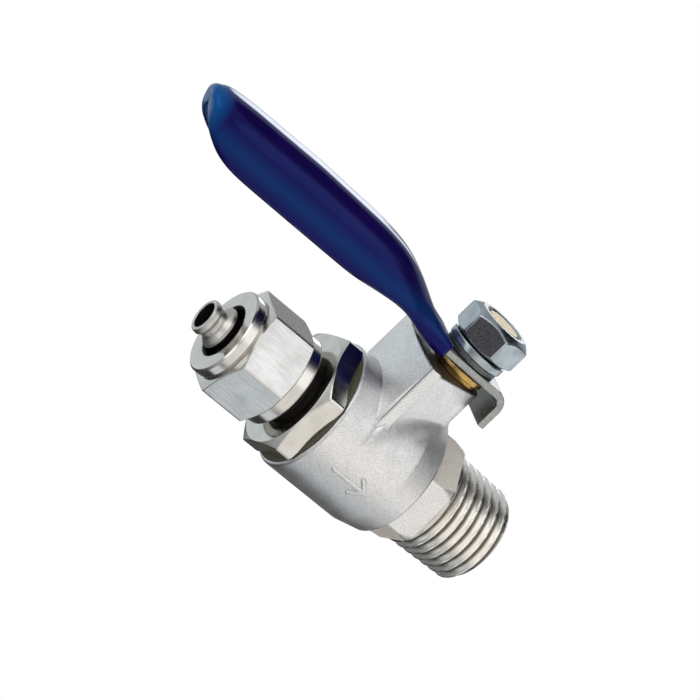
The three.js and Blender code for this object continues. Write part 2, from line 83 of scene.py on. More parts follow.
# Tube end
TIP_X, RIDGE_X, STUD_X, HEX_X0, HEX_X1, PLUG_X = -27.6, -24.8, -20.8, -13.2, -10.4, -5.05
ADAPTER_FLATS, ADAPTER_TURN, GASKET_R = 15.4, 4.5, 8.35
NUT_FRONT, NUT_COLLAR, NUT_HEX_END, NUT_REAR = -24.5, -22.95, -16.2, -14.4
NUT_FLATS, NUT_TURN = 12.4, 30.0
STUD_R, ADAPTER_BORE_R, PORT_R = 5.0, 1.65, 2.5
BARB_ROOT_X, NUT_COLLAR_R, NUT_REAR_R, NUT_HOLE_R = -22.2, 5.65, 6.1, 3.3
HEX_CORNER_R, NUT_CORNER_R, STUD_CLEARANCE = 9.0, 7.2, 0.06

# Stem stack
STEM_R, STEM_TOP, STEM_FLATS = 2.45, 22.05, 3.6
COLLAR_R, COLLAR_TOP = 3.5, 15.25
WASHER_Z, SPRING_Z, STEM_NUT_Z, STEM_NUT_FLATS, STEM_NUT_TURN = 16.45, 17.15, 18.15, 7.85, -3.0
STEM_NUT_HEIGHT, STEM_NUT_CORNER_R = 4.0, 4.9
STEM_FLANGE_R, STEM_FLANGE_Z0, STEM_FLANGE_Z1 = 3.15, 6.05, 6.65
O_RING_HEIGHTS, O_RING_GROOVE, O_RING_DEPTH = (8.6, 10.9), 1.2, 0.75
FINE_PITCH = 0.8
BALL_R = 5.0


# ---- camera ----
def add_camera():
    """The photograph's viewing angle: azimuth, elevation and the roll of the picture."""
    azimuth, elevation, roll = math.radians(-25.716), math.radians(12.018), math.radians(45.682)
    distance, scale = 0.4, 8648.0
    target = Vector(((STEM_AXIS_X - 11.485) * MM, 0, 7.826 * MM))
    back = Vector((math.sin(azimuth) * math.cos(elevation), -math.cos(azimuth) * math.cos(elevation),
                   math.sin(elevation)))
    right = Vector((math.cos(azimuth), math.sin(azimuth), 0))
    up = back.cross(right)
    side = right * math.cos(roll) + up * math.sin(roll)
    top = up * math.cos(roll) - right * math.sin(roll)
    data = bpy.data.cameras.new("camera")
    data.sensor_width = 36.0
    data.lens = 36.0 * distance * scale / 700
    data.clip_start, data.clip_end = 0.01, 30
    camera = bpy.data.objects.new("camera", data)
    turn = Matrix((side, top, back)).transposed()
    camera.matrix_world = Matrix.Translation(target + back * distance) @ turn.to_4x4()
    bpy.context.scene.collection.objects.link(camera)
    bpy.context.scene.camera = camera


# ---- meshes ----
def place(points):
    """Millimetres about the stem axis to metres in the frame."""
    return (np.asarray(points, float) + np.array([STEM_AXIS_X, 0, 0])) * MM


def mesh_object(name, points, faces, sharp_degrees=None):
    mesh = bpy.data.meshes.new(name)
    count, sides = faces.shape
    mesh.vertices.add(len(points))
    mesh.vertices.foreach_set("co", place(points).astype(np.float32).ravel())
    mesh.loops.add(count * sides)
    mesh.loops.foreach_set("vertex_index", faces.astype(np.int32).ravel())
    mesh.polygons.add(count)
    mesh.polygons.foreach_set("loop_start", np.arange(0, count * sides, sides, dtype=np.int32))
    mesh.update(calc_edges=True)
    mesh.validate()
    mesh.shade_smooth()
    if sharp_degrees is not None:
        mesh.set_sharp_from_angle(angle=math.radians(sharp_degrees))
    obj = bpy.data.objects.new(name, mesh)
    bpy.context.scene.collection.objects.link(obj)
    return obj


def round_corners(corners, radius=0.12, steps=3):
    """A closed outline with each corner replaced by a short arc. A corner may carry its own radius."""
    outline = []
    count = len(corners)
    for i, corner in enumerate(corners):
        here = np.array(corner[:2], float)
        own = corner[2] if len(corner) > 2 else radius
        before = np.array(corners[i - 1][:2], float) - here
        after = np.array(corners[(i + 1) % count][:2], float) - here
        room = min(np.linalg.norm(before), np.linalg.norm(after)) * 0.45
        before /= np.linalg.norm(before)
        after /= np.linalg.norm(after)
        half = math.acos(np.clip(before @ after, -1, 1)) / 2
        cut = min(own / max(math.tan(half), 1e-6), room)
        if own <= 0 or half > math.radians(88):
            outline.append(here)
            continue
        start, end = here + before * cut, here + after * cut
        for k in range(steps + 1):
            t = k / steps
            outline.append((1 - t) ** 2 * start + 2 * t * (1 - t) * here + t * t * end)
    return np.array(outline)


def resample(outline, step):
    """Adds points so that no stretch of the closed outline is longer than step."""
    points = []
    for i, a in enumerate(outline):
        b = outline[(i + 1) % len(outline)]
        parts = max(1, math.ceil(np.linalg.norm(b - a) / step))
        points += [a + (b - a) * k / parts for k in range(parts)]
    return np.array(points)


def hexagon_radius(angle, flats, corner_round=0.35):
    """Distance to a hexagon with rounded corners, at an angle measured from one of its corners."""
    rounded = flats / 2 - corner_round
    centre = rounded / math.cos(math.pi / 6)
    phi = (angle + math.pi / 6) % (math.pi / 3) - math.pi / 6
    limit = math.atan2(corner_round * 0.5, centre + corner_round * math.cos(math.pi / 6))
    on_arc = centre * np.cos(phi) + np.sqrt(np.maximum(corner_round**2 - (centre * np.sin(phi)) ** 2, 0))
    on_flat = flats / 2 / np.cos(math.pi / 6 - np.abs(phi))
    return np.where(np.abs(phi) <= limit, on_arc, on_flat)


def soft_min(a, b, k):
    h = np.maximum(k - np.abs(a - b), 0) / k
    return np.minimum(a, b) - h * h * k / 4


def turned(name, axis, outline, steps=192, flats=None, turn=0.0, flats_range=None, shape=None, edge=0.12,
           sharp=50):
    """A closed outline of (along, radius) points turned about the flow axis ("x") or the stem axis ("z").

    flats cuts a hexagon over flats_range; shape(along, radius, angle) bends the radius, as for a thread.
    """
    angles = np.arange(steps) * 2 * math.pi / steps
    along = np.repeat(outline[:, :1], steps, 1)
    radius = np.repeat(outline[:, 1:], steps, 1)
    if flats:
        reach = hexagon_radius(angles - math.radians(turn), flats)[None, :]
        cut = soft_min(radius, reach, edge)
        inside = (along > flats_range[0]) & (along < flats_range[1]) & (radius > flats * 0.42)
        radius = np.where(inside, cut, radius)
    if shape:
        radius = shape(along, radius, angles[None, :])
    sine, cosine = np.sin(angles)[None, :] * radius, np.cos(angles)[None, :] * radius
    if axis == "x":
        points = np.stack([along, -sine, cosine], -1)
    else:
        points = np.stack([cosine, sine, along], -1)
    rows = len(outline)
    i, j = np.meshgrid(np.arange(rows), np.arange(steps), indexing="ij")
    i2, j2 = (i + 1) % rows, (j + 1) % steps
    quads = np.stack([i * steps + j, i * steps + j2, i2 * steps + j2, i2 * steps + j], -1).reshape(-1, 4)
    points = points.reshape(-1, 3)
    if signed_volume(points, quads) < 0:
        quads = quads[:, ::-1]
    obj = mesh_object(name, points, quads, sharp)
    if outline[:, 1].min() <= 0:
        weld(obj)
    return obj


def weld(obj):
    """Joins the points that lie on each other where an outline meets its axis."""
    mesh = bmesh.new()
    mesh.from_mesh(obj.data)
    bmesh.ops.remove_doubles(mesh, verts=mesh.verts, dist=1e-7)
    mesh.to_mesh(obj.data)
    mesh.free()


def signed_volume(points, quads):
    a, b, c, d = (points[quads[:, k]] for k in range(4))
    return float((np.cross(a, b) * c).sum() + (np.cross(a, c) * d).sum())


# A box's faces, for corners listed with z changing fastest.
BOX_FACES = [(0, 1, 3, 2), (4, 6, 7, 5), (0, 4, 5, 1), (2, 3, 7, 6), (0, 2, 6, 4), (1, 5, 7, 3)]
CORNERS = [(i, j, k) for i in (0, 1) for j in (0, 1) for k in (0, 1)]
CELL_EDGES = [(a, b) for a in range(8) for b in range(a + 1, 8)
              if sum(abs(p - q) for p, q in zip(CORNERS[a], CORNERS[b])) == 1]


def sampled(field, axes):
    values = np.empty([len(a) for a in axes], np.float32)
    y, z = np.meshgrid(axes[1], axes[2], indexing="ij")
    for i, x in enumerate(axes[0]):
        values[i] = field(np.full_like(y, x), y, z)
    return values


def surface_mesh(name, field, low, high, step, sharp=None):
    """The surface where field is zero, as quads whose corners lie on it."""
    axes = [np.arange(a, b + step, step) for a, b in zip(low, high)]
    values = sampled(field, axes)
    inside = values < 0
    size = [n - 1 for n in inside.shape]
    corner = [inside[i:i + size[0], j:j + size[1], k:k + size[2]] for i, j, k in CORNERS]
    count = np.sum(corner, axis=0)
    cells = np.argwhere((count > 0) & (count < 8))
    index = np.full(size, -1, np.int64)
    index[tuple(cells.T)] = np.arange(len(cells))
    value = [values[tuple((cells + c).T)] for c in CORNERS]
    total, hits = np.zeros((len(cells), 3)), np.zeros(len(cells))
    for a, b in CELL_EDGES:
        crosses = (value[a] < 0) != (value[b] < 0)
        t = value[a] / np.where(crosses, value[a] - value[b], 1)
        point = np.array(CORNERS[a]) + t[:, None] * (np.array(CORNERS[b]) - np.array(CORNERS[a]))
        total += np.where(crosses[:, None], point, 0)
        hits += crosses
    origin = np.array([a[0] for a in axes])
    points = origin + (cells + total / hits[:, None]) * step
    points = pulled_to_surface(field, points, step)
    quads = []
    for axis in range(3):
        a, b = [k for k in range(3) if k != axis]
        first = [slice(None)] * 3
        second = [slice(None)] * 3
        first[axis], second[axis] = slice(0, -1), slice(1, None)
        now, then = inside[tuple(first)], inside[tuple(second)]
        for found, flip in ((now & ~then, False), (~now & then, True)):
            at = np.argwhere(found)
            at = at[(at[:, a] > 0) & (at[:, b] > 0) & (at[:, a] < size[a]) & (at[:, b] < size[b])]
            ring = []
            for da, db in ((-1, -1), (0, -1), (0, 0), (-1, 0)):
                cell = at.copy()
                cell[:, a] += da
                cell[:, b] += db
                ring.append(index[tuple(cell.T)])
            ring = np.stack(ring, -1)
            quads.append(ring[:, ::-1] if flip != (axis == 1) else ring)
    return mesh_object(name, points, np.concatenate(quads), sharp)


def pulled_to_surface(field, points, step):
    small = step * 0.2
    for _ in range(3):
        here = field(*points.T)
        slope = np.stack([
            (field(*(points + small * unit).T) - field(*(points - small * unit).T)) / (2 * small)
            for unit in np.eye(3)], -1)
        move = here[:, None] * slope / np.maximum((slope**2).sum(1), 0.05)[:, None]
        points = points - np.clip(move, -0.6 * step, 0.6 * step)
    return points


def apply_modifiers(obj):
    evaluated = obj.evaluated_get(bpy.context.evaluated_depsgraph_get())
    mesh = bpy.data.meshes.new_from_object(evaluated)
    obj.modifiers.clear()
    obj.data = mesh


def boolean(obj, other, operation):
    modifier = obj.modifiers.new("cut", "BOOLEAN")
    modifier.operation = operation
    modifier.solver = "MANIFOLD"
    modifier.object = other
    bpy.context.view_layer.update()
    apply_modifiers(obj)
    bpy.data.objects.remove(other)


# ---- distance fields ----
def round_max(a, b, r):
    return np.minimum(np.maximum(a, b), -r) + np.hypot(np.maximum(a + r, 0), np.maximum(b + r, 0))


def round_min(a, b, r):
    return np.maximum(np.minimum(a, b), r) - np.hypot(np.maximum(r - a, 0), np.maximum(r - b, 0))


def segment_distance(u, v, start, end):
    du, dv = end[0] - start[0], end[1] - start[1]
    t = np.clip(((u - start[0]) * du + (v - start[1]) * dv) / (du * du + dv * dv), 0, 1)
    return np.hypot(u - start[0] - t * du, v - start[1] - t * dv)


def barrel_field(x, y, z):
    slope = (BARREL_R - FRONT_R) / (FRONT_X - TAPER_X)
    radial = np.hypot(y, z)
    side = round_max(radial - BARREL_R, radial - BARREL_R + (x - TAPER_X) * slope, 0.02)
    barrel = round_max(round_max(side, REAR_X - x, 0.4), x - FRONT_X, 0.15)
    flats = np.abs(y)
    for degrees in (30, -30):
        normal = math.radians(degrees)
        flats = np.maximum(flats, np.abs(math.cos(normal) * z + math.sin(normal) * y))
    removed = np.maximum(WRENCH_X - x, WRENCH_FLATS / 2 - flats)
    return round_max(barrel, -removed, 0.12)


def lug_field(x, y, z):
    bulge = (LUG_BULGE + LUG_DRAFT * (LUG_TOP - z)) * (1 - (y / LUG_HALF) ** 2)
    lug = round_max(LUG_X - bulge - x, x - LUG_FRONT_X, 0.2)
    lug = round_max(lug, np.abs(y) - LUG_HALF, 0.22)
    lug = round_max(lug, z - LUG_TOP, 0.25)
    lug = np.maximum(lug, LUG_ROOT_Z - z)
    groove = 0.2 - np.hypot(x - LUG_X + 0.16, y + LUG_HALF - 0.3)
    return round_max(lug, groove, 0.04)


def web_field(x, y, z):
    """The wall tangent to the boss that runs out to the lug's near edge."""
    edge_x, edge_y = LUG_FRONT_X - 0.1, 0.4 - LUG_HALF
    angle = math.atan2(edge_y, edge_x) + math.acos(BOSS_R / math.hypot(edge_x, edge_y))
    outward = math.cos(angle) * x + math.sin(angle) * y - BOSS_R
    wall = np.maximum(outward, -math.sin(angle) * x + math.cos(angle) * y)
    wall = np.maximum(np.maximum(wall, LUG_FRONT_X - 0.5 - x), y - STEM_HOLE_R)
    return round_max(np.maximum(wall, LUG_ROOT_Z - z), z - BOSS_TOP, 0.2)


# The arrow's strokes on the unrolled barrel: the shaft and two barbs.
ARROW = [((-6.2, 0.0), (-1.2, 0.0)), ((-1.2, 0.0), (-2.6, 1.25)), ((-1.2, 0.0), (-2.6, -1.25))]
ARROW_TURN = math.radians(14)


def casting_field(x, y, z):
    boss = round_max(np.hypot(x, y) - BOSS_R, z - BOSS_TOP, 0.2)
    boss = np.maximum(boss, -z)
    tower = np.minimum(boss, web_field(x, y, z))
    body = round_min(barrel_field(x, y, z), tower, BOSS_FILLET)
    return round_min(body, lug_field(x, y, z), 0.12)


def arrow_field(x, y, z):
    """A raised flow arrow that follows the barrel."""
    around = BARREL_R * (np.arctan2(z, -y) + ARROW_TURN)
    mark = np.min([segment_distance(x, around, a, b) for a, b in ARROW], axis=0) - 0.3
    radial = np.hypot(y, z) - BARREL_R
    return np.maximum(round_max(mark, radial - 0.26, 0.2), -0.3 - radial)


# ---- lever fields ----
def smooth_table(column):
    """A station column on an even grid, rounded so that the sheet bends smoothly."""
    x = np.arange(-50, 12, 0.05)
    raw = np.interp(x, LEVER_STATIONS[:, 0], LEVER_STATIONS[:, column])
    blurred = []
    for sigma in (0.35, 1.1):
        reach = np.arange(-4 * sigma, 4 * sigma + 0.01, 0.05)
        weights = np.exp(-0.5 * (reach / sigma) ** 2)
        padded = np.pad(raw, len(reach) // 2, "edge")
        blurred.append(np.convolve(padded, weights / weights.sum(), "valid")[:len(x)])
    share = np.clip((x + 45.5) / 3, 0, 1) * np.clip((-4.5 - x) / 2.5, 0, 1)
    return x, blurred[0] * (1 - share) + blurred[1] * share


TABLE_X, HALF_WIDTHS = smooth_table(1)
CROWNS = smooth_table(2)[1]
LOWERS = smooth_table(3)[1]


def along_lever(values, x):
    return np.interp(x, TABLE_X, values), np.interp(x, TABLE_X, np.gradient(values, TABLE_X))


def ramp_between(x, start, end):
    t = np.clip((x - start) / (end - start), 0, 1)
    return t * t * (3 - 2 * t)


def channel_field(x, y, z):
    half, half_slope = along_lever(HALF_WIDTHS, x)
    crown, crown_slope = along_lever(CROWNS, x)
    lower, lower_slope = along_lever(LOWERS, x)
    corner = np.minimum(LEVER_CORNER, 0.75 * half)
    corner = 0.3 + (corner - 0.3) * ramp_between(x, -4.0, -11.0)
    bulge = 0.25 * np.clip((-5 - x) / 6, 0, 1) * ((z - 18.9) / 3.4) ** 2
    across = (np.abs(y) - half + np.minimum(bulge, 0.4)) / np.hypot(1, half_slope) + corner
    above = (z - crown) / np.hypot(1, crown_slope) + corner
    outside = np.hypot(np.maximum(across, 0), np.maximum(above, 0)) - corner
    outside = outside + np.minimum(np.maximum(across, above), 0)
    sheet = np.abs(outside + SHEET / 2) - SHEET / 2
    sheet = round_max(sheet, (lower - z) / np.hypot(1, lower_slope), 0.2)
    return round_max(round_max(sheet, LEVER_TIP_X - x, 0.2), x - 4.0, 0.01)


def tab_field(x, y, z):
    top = PLATE_Z + SHEET
    bend_x, bend_z = TAB_X + SHEET - TAB_BEND, top - TAB_BEND
    middle = TAB_BEND - SHEET / 2
    arc = np.abs(np.hypot(x - bend_x, z - bend_z) - middle)
    upright = np.where(z < bend_z, np.abs(x - bend_x - middle), arc)
    strip = np.where(x < bend_x, np.abs(z - bend_z - middle), upright)
    strip = round_max(strip - SHEET / 2, np.abs(y) - PLATE_HALF, 0.12)
    strip = round_max(strip, TAB_Z - z, 0.12)
    return np.maximum(strip, 2.0 - x)


def lever_field(x, y, z):
    hole = np.maximum(np.hypot(x, y) - STEM_R - 0.08, np.abs(y) - STEM_FLATS / 2 - 0.06)
    return np.maximum(np.minimum(channel_field(x, y, z), tab_field(x, y, z)), -hole)


def sleeve_field(x, y, z):
    sheet = channel_field(x, y, z)
    skin = round_max(sheet - VINYL, 0.03 - sheet, 0.02)
    plan = round_max(np.abs(y) - PLATE_HALF - VINYL - 0.3, x - VINYL_END_X, 1.8)
    return round_max(skin, plan, 0.2)


# ---- materials ----
class Paint:
    """Builds one node material around a Principled shader."""

    def __init__(self, name, **shader):
        self.material = bpy.data.materials.new(name)
        self.material.use_nodes = True
        self.tree = self.material.node_tree
        self.shader = self.tree.nodes["Principled BSDF"]
        for socket, value in shader.items():
            self.shader.inputs[socket.replace("_", " ")].default_value = value
        self.here = self.node("ShaderNodeTexCoord").outputs["Object"]

    def node(self, kind, links=None, **settings):
        node = self.tree.nodes.new(kind)
        for key, value in settings.items():
            setattr(node, key, value)
        for socket, value in (links or {}).items():
            if hasattr(value, "links"):
                self.tree.links.new(value, node.inputs[socket])
            else:
                node.inputs[socket].default_value = value
        return node

    def noise(self, scale, detail=3.0, stretch=(1, 1, 1), roughness=0.5, vector=None):
        """Noise with about scale features per millimetre."""
        factor = [scale / MM * s for s in stretch]
        at = self.node("ShaderNodeVectorMath", {0: vector or self.here, 1: factor}, operation="MULTIPLY")
        return self.node("ShaderNodeTexNoise", {
            "Vector": at.outputs[0], "Scale": 1.0, "Detail": detail, "Roughness": roughness}).outputs[0]

    def around(self, along, axis="x"):
        """Coordinates from the height along an axis and the distance from it: rings, as a lathe leaves."""
        parts = self.node("ShaderNodeSeparateXYZ", {0: self.here})
        a, b = ("Y", "Z") if axis == "x" else ("X", "Y")
        shift = 0.0 if axis == "x" else -STEM_AXIS_X * MM
        shifted = self.node("ShaderNodeMath", {0: parts.outputs[a], 1: shift}, operation="ADD")
        squares = [self.node("ShaderNodeMath", {0: p, 1: 2.0}, operation="POWER").outputs[0]
                   for p in (shifted.outputs[0], parts.outputs[b])]
        total = self.node("ShaderNodeMath", {0: squares[0], 1: squares[1]}, operation="ADD")
        radius = self.node("ShaderNodeMath", {0: total.outputs[0], 1: 0.5}, operation="POWER")
        height = parts.outputs["X" if axis == "x" else "Z"]
        scaled = self.node("ShaderNodeMath", {0: height, 1: along}, operation="MULTIPLY")
        return self.node("ShaderNodeCombineXYZ", {0: scaled.outputs[0], 1: radius.outputs[0]}).outputs[0]

    def ramp(self, value, low, high, a=0.3, b=0.7):
        """Maps value from a..b to low..high."""
        return self.node("ShaderNodeMapRange", {0: value, 1: a, 2: b, 3: low, 4: high}).outputs[0]

    def colour(self, value, low, high, a=0.3, b=0.7):
        node = self.node("ShaderNodeValToRGB", {0: value})
        node.color_ramp.elements[0].position, node.color_ramp.elements[1].position = a, b
        node.color_ramp.elements[0].color = (*low, 1)
        node.color_ramp.elements[1].color = (*high, 1)
        self.tree.links.new(node.outputs[0], self.shader.inputs["Base Color"])
        return self

    def axis(self, name):
        return self.node("ShaderNodeSeparateXYZ", {0: self.here}).outputs[name]

    def near(self, centre, across, reach):
        """1 on a line or plane through centre (x, y about the stem axis), falling to 0 at reach."""
        flat = self.node("ShaderNodeVectorMath", {0: self.here, 1: across}, operation="MULTIPLY").outputs[0]
        point = [c * a * MM for c, a in zip((centre[0] + STEM_AXIS_X, centre[1], 0), across)]
        gap = self.node("ShaderNodeVectorMath", {0: flat, 1: point}, operation="DISTANCE").outputs["Value"]
        return self.ramp(gap, 1, 0, reach * 0.3 * MM, reach * MM)

    def darken(self, mask, limit, amount):
        """Takes the base colour down where mask and limit are both 1, as painted shade."""
        both = self.node("ShaderNodeMath", {0: mask, 1: limit}, operation="MULTIPLY").outputs[0]
        part = self.node("ShaderNodeMath", {0: both, 1: amount}, operation="MULTIPLY").outputs[0]
        self.tint(part, (0.03, 0.025, 0.02))

    def tint(self, factor, colour):
        """Mixes a second colour over the base colour."""
        socket = self.shader.inputs["Base Color"]
        before = socket.links[0].from_socket
        mix = self.node("ShaderNodeMix", {0: factor, 6: before, 7: (*colour, 1)}, data_type="RGBA")
        self.tree.links.new(mix.outputs[2], socket)

    def rough(self, value, low, high, a=0.3, b=0.7):
        self.tree.links.new(self.ramp(value, low, high, a, b), self.shader.inputs["Roughness"])
        return self

    def bump(self, *layers):
        """Layers of (value, strength, depth in mm)."""
        normal = None
        for value, strength, depth in layers:
            links = {"Height": value, "Strength": strength, "Distance": depth * MM}
            if normal:
                links["Normal"] = normal
            normal = self.node("ShaderNodeBump", links).outputs[0]
        self.tree.links.new(normal, self.shader.inputs["Normal"])
        return self


def cast_paint():
    p = Paint("cast_nickel", Metallic=1.0, Roughness=0.42)
    grain = p.noise(6.5, 2, roughness=0.6)
    wide = p.noise(0.45, 3)
    p.colour(grain, (0.70, 0.70, 0.70), (0.97, 0.96, 0.95), 0.36, 0.62).rough(wide, 0.34, 0.46)
    above_barrel = p.ramp(p.axis("Z"), 0, 1, 4.5 * MM, 6 * MM)
    # Painted shade: thin dark lines along the lug's rear crease and along the edge of its near end, above
    # the barrel.
    for x, y, amount in ((LUG_X - 0.04, 0.2 - LUG_HALF, 0.85), (LUG_FRONT_X, 0.3 - LUG_HALF, 0.5)):
        p.darken(p.near((x, y), (1, 1, 0), 0.2), above_barrel, amount)
    # Painted shade: a thin dark line along the step where the near wrench flat meets the barrel.
    near_side = p.ramp(p.axis("Y"), 1, 0, -WRENCH_FLATS / 2 * MM, (0.4 - WRENCH_FLATS / 2) * MM)
    p.darken(p.near((WRENCH_X - 0.1, 0), (1, 0, 0), 0.11), near_side, 0.6)
    return p.bump((wide, 0.3, 0.2), (grain, 0.7, 0.045)).material


def thread_paint():
    """Painted shade darkens the roots and painted light brightens the crests, from the distance to the
    thread's own cone.
    """
    p = Paint("cut_thread", Metallic=1.0, Roughness=0.25)
    parts = p.node("ShaderNodeSeparateXYZ", {0: p.around(PIPE_TAPER)})
    level = p.node("ShaderNodeMath", {0: parts.outputs[0], 1: parts.outputs[1]}, operation="ADD").outputs[0]
    crest = (PIPE_R + (STEM_AXIS_X + FRONT_X) * PIPE_TAPER) * MM
    height = p.ramp(level, 0.0, 1.0, crest - PIPE_DEPTH * MM, crest)
    streaks = p.noise(6, 3, vector=p.around(1.0))
    p.colour(height, (0.17, 0.15, 0.12), (1.0, 0.97, 0.92), 0.0, 0.45).rough(streaks, 0.18, 0.34)
    return p.bump((streaks, 0.35, 0.02), (p.noise(1.5, 3), 0.15, 0.05)).material


def turned_paint(name, low, high, rough, axis="x", grain=0.25, metallic=1.0):
    p = Paint(name, Metallic=metallic, Roughness=rough[0])
    rings = p.noise(9, 3, vector=p.around(1.0, axis))
    cloud = p.noise(0.5, 4)
    p.colour(cloud, low, high).rough(cloud, *rough)
    return p.bump((rings, grain, 0.02), (cloud, 0.06, 0.08)).material


def brushed_paint():
    p = Paint("brushed_nickel", Metallic=1.0, Roughness=0.25)
    streaks = p.noise(7, 4, (0.08, 1, 1), 0.6)
    cloud = p.noise(0.35, 4)
    p.colour(cloud, (0.60, 0.60, 0.59), (0.78, 0.78, 0.77)).rough(streaks, 0.2, 0.36)
    return p.bump((streaks, 0.18, 0.02), (cloud, 0.12, 0.15)).material


def vinyl_paint():
    p = Paint("vinyl_blue", Metallic=0.0, Roughness=0.1, IOR=1.5, Specular_Tint=(0.1, 0.25, 1.0, 1))
    cloud = p.noise(0.2, 3)
    p.colour(cloud, (0.008, 0.003, 0.070), (0.011, 0.005, 0.090))
    # Painted reflection: a lighter blue band low on the grip's sides.
    height = p.axis("Z")
    low, high = p.ramp(height, 0, 1, 16.4 * MM, 17.6 * MM), p.ramp(height, 1, 0, 18.0 * MM, 19.6 * MM)
    painted_reflection_band = p.node("ShaderNodeMath", {0: low, 1: high}, operation="MULTIPLY").outputs[0]
    p.tint(painted_reflection_band, (0.006, 0.028, 0.135))
    # Painted highlight: azure towards the nose of the grip.
    tip_x = LEVER_TIP_X + STEM_AXIS_X
    tip = p.ramp(p.axis("X"), 1, 0, (tip_x + 0.2) * MM, (tip_x + 2) * MM)
    p.tint(tip, (0.002, 0.085, 0.30))
    p.rough(p.noise(2.5, 2), 0.08, 0.13)
    return p.bump((cloud, 0.2, 0.25), (p.noise(3.2, 3), 0.06, 0.02)).material


def dull_paint(name, low, high, rough, metallic=0.0, grain=6.0):
    p = Paint(name, Metallic=metallic, Roughness=rough[0])
    speckle = p.noise(grain, 3)
    p.colour(speckle, low, high).rough(speckle, *rough)
    return p.bump((speckle, 0.25, 0.02)).material


PAINTS = {
    "cast": cast_paint(),
    "thread": thread_paint(),
    # Painted shade: near-black for recesses, bores and undersides.
    "shadow": dull_paint("painted_recess_shade", (0.012, 0.010, 0.008), (0.03, 0.025, 0.02), (0.4, 0.55), 0.5),
    # Painted shade for the boss and lug tops under the lever.
    "stained": dull_paint("shaded_top_casting", (0.07, 0.058, 0.04), (0.17, 0.145, 0.11), (0.4, 0.55), 0.9),
    # The tube nut's top flat: darker speckled wear, with painted shade.
    "worn": dull_paint("worn_shaded_nickel", (0.05, 0.045, 0.035), (0.40, 0.38, 0.32), (0.45, 0.6), 1.0, 4.0),
    "machined": turned_paint("machined_nickel", (0.62, 0.60, 0.56), (0.74, 0.72, 0.68), (0.16, 0.26)),
    "polished": turned_paint("polished_nickel", (0.64, 0.62, 0.58), (0.74, 0.72, 0.68), (0.10, 0.2),
                             grain=0.12),
    "brushed": brushed_paint(),
    "brass": turned_paint("bare_brass", (0.50, 0.30, 0.08), (0.80, 0.56, 0.22), (0.2, 0.34), "z"),
    "zinc": turned_paint("zinc_steel", (0.30, 0.36, 0.39), (0.55, 0.60, 0.63), (0.18, 0.34), "z"),
    # Painted shade for the thin washer, dark for the shaded band between the plate and the spring washer.
    "dark": dull_paint("dark_steel", (0.10, 0.105, 0.11), (0.2, 0.205, 0.21), (0.35, 0.5), 0.9),
    "sheet": dull_paint("lever_steel", (0.30, 0.31, 0.30), (0.46, 0.47, 0.46), (0.28, 0.42), 1.0, 3.0),
    # Painted shade for the stem nut's flat that faces the camera.
    "scuffed": dull_paint("near_flat_shade_zinc", (0.085, 0.08, 0.09), (0.17, 0.165, 0.18), (0.3, 0.45), 1.0, 6.0),
    # Painted shade for the inside of the lever's bent-down tab.
    "tarnish": dull_paint("tab_shade_steel", (0.10, 0.10, 0.09), (0.19, 0.19, 0.17), (0.3, 0.45), 1.0, 2.0),
    "satin": turned_paint("satin_nickel", (0.56, 0.54, 0.50), (0.74, 0.72, 0.68), (0.3, 0.42)),
    "cut_brass": turned_paint("cut_brass", (0.46, 0.34, 0.17), (0.62, 0.48, 0.28), (0.38, 0.46), "z"),
    # The slanted wrench flats: a matte milled finish, given a light, nearly non-metallic colour as painted
    # light.
    "milled": dull_paint("milled_and_lit_nickel", (0.80, 0.74, 0.65), (1.0, 0.95, 0.86), (0.5, 0.6), 0.15, 5.0),
    "vinyl": vinyl_paint(),
    "gasket": dull_paint("gasket_fibre", (0.06, 0.058, 0.03), (0.12, 0.11, 0.06), (0.6, 0.8)),
    "ptfe": dull_paint("ptfe_white", (0.75, 0.75, 0.72), (0.84, 0.84, 0.81), (0.4, 0.55)),
    "rubber": dull_paint("rubber_black", (0.012, 0.012, 0.012), (0.025, 0.025, 0.025), (0.6, 0.8)),
}


def finish(obj, paints, body, slot, *nodes):
    """Gives a piece its materials, its body and the CAD nodes it stands for. The slot argument is not used.
    """
    obj.data.materials.clear()
    for paint in paints.split():
        obj.data.materials.append(PAINTS[paint])
    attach(obj, body)
    if nodes:
        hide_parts(*nodes)


# ---- body ----
def thread_shape(start, pitch, depth):
    """A helical vee thread cut into the turned radius from start to the end face."""
    def shape(along, radius, angle):
        phase = ((along - start) / pitch - angle / (2 * math.pi)) % 1
        groove = np.clip((np.abs(phase - 0.5) - 0.07) / 0.36, 0, 1)
        fade = np.clip((along - start - 0.4) / 0.3, 0, 1)
        cut = depth * (1 - groove) * fade
        outer = (radius > PIPE_R - 1.6) & (along > start)
        return np.where(outer, np.minimum(radius, PIPE_R - (along - start) * PIPE_TAPER - cut), radius)
    return shape


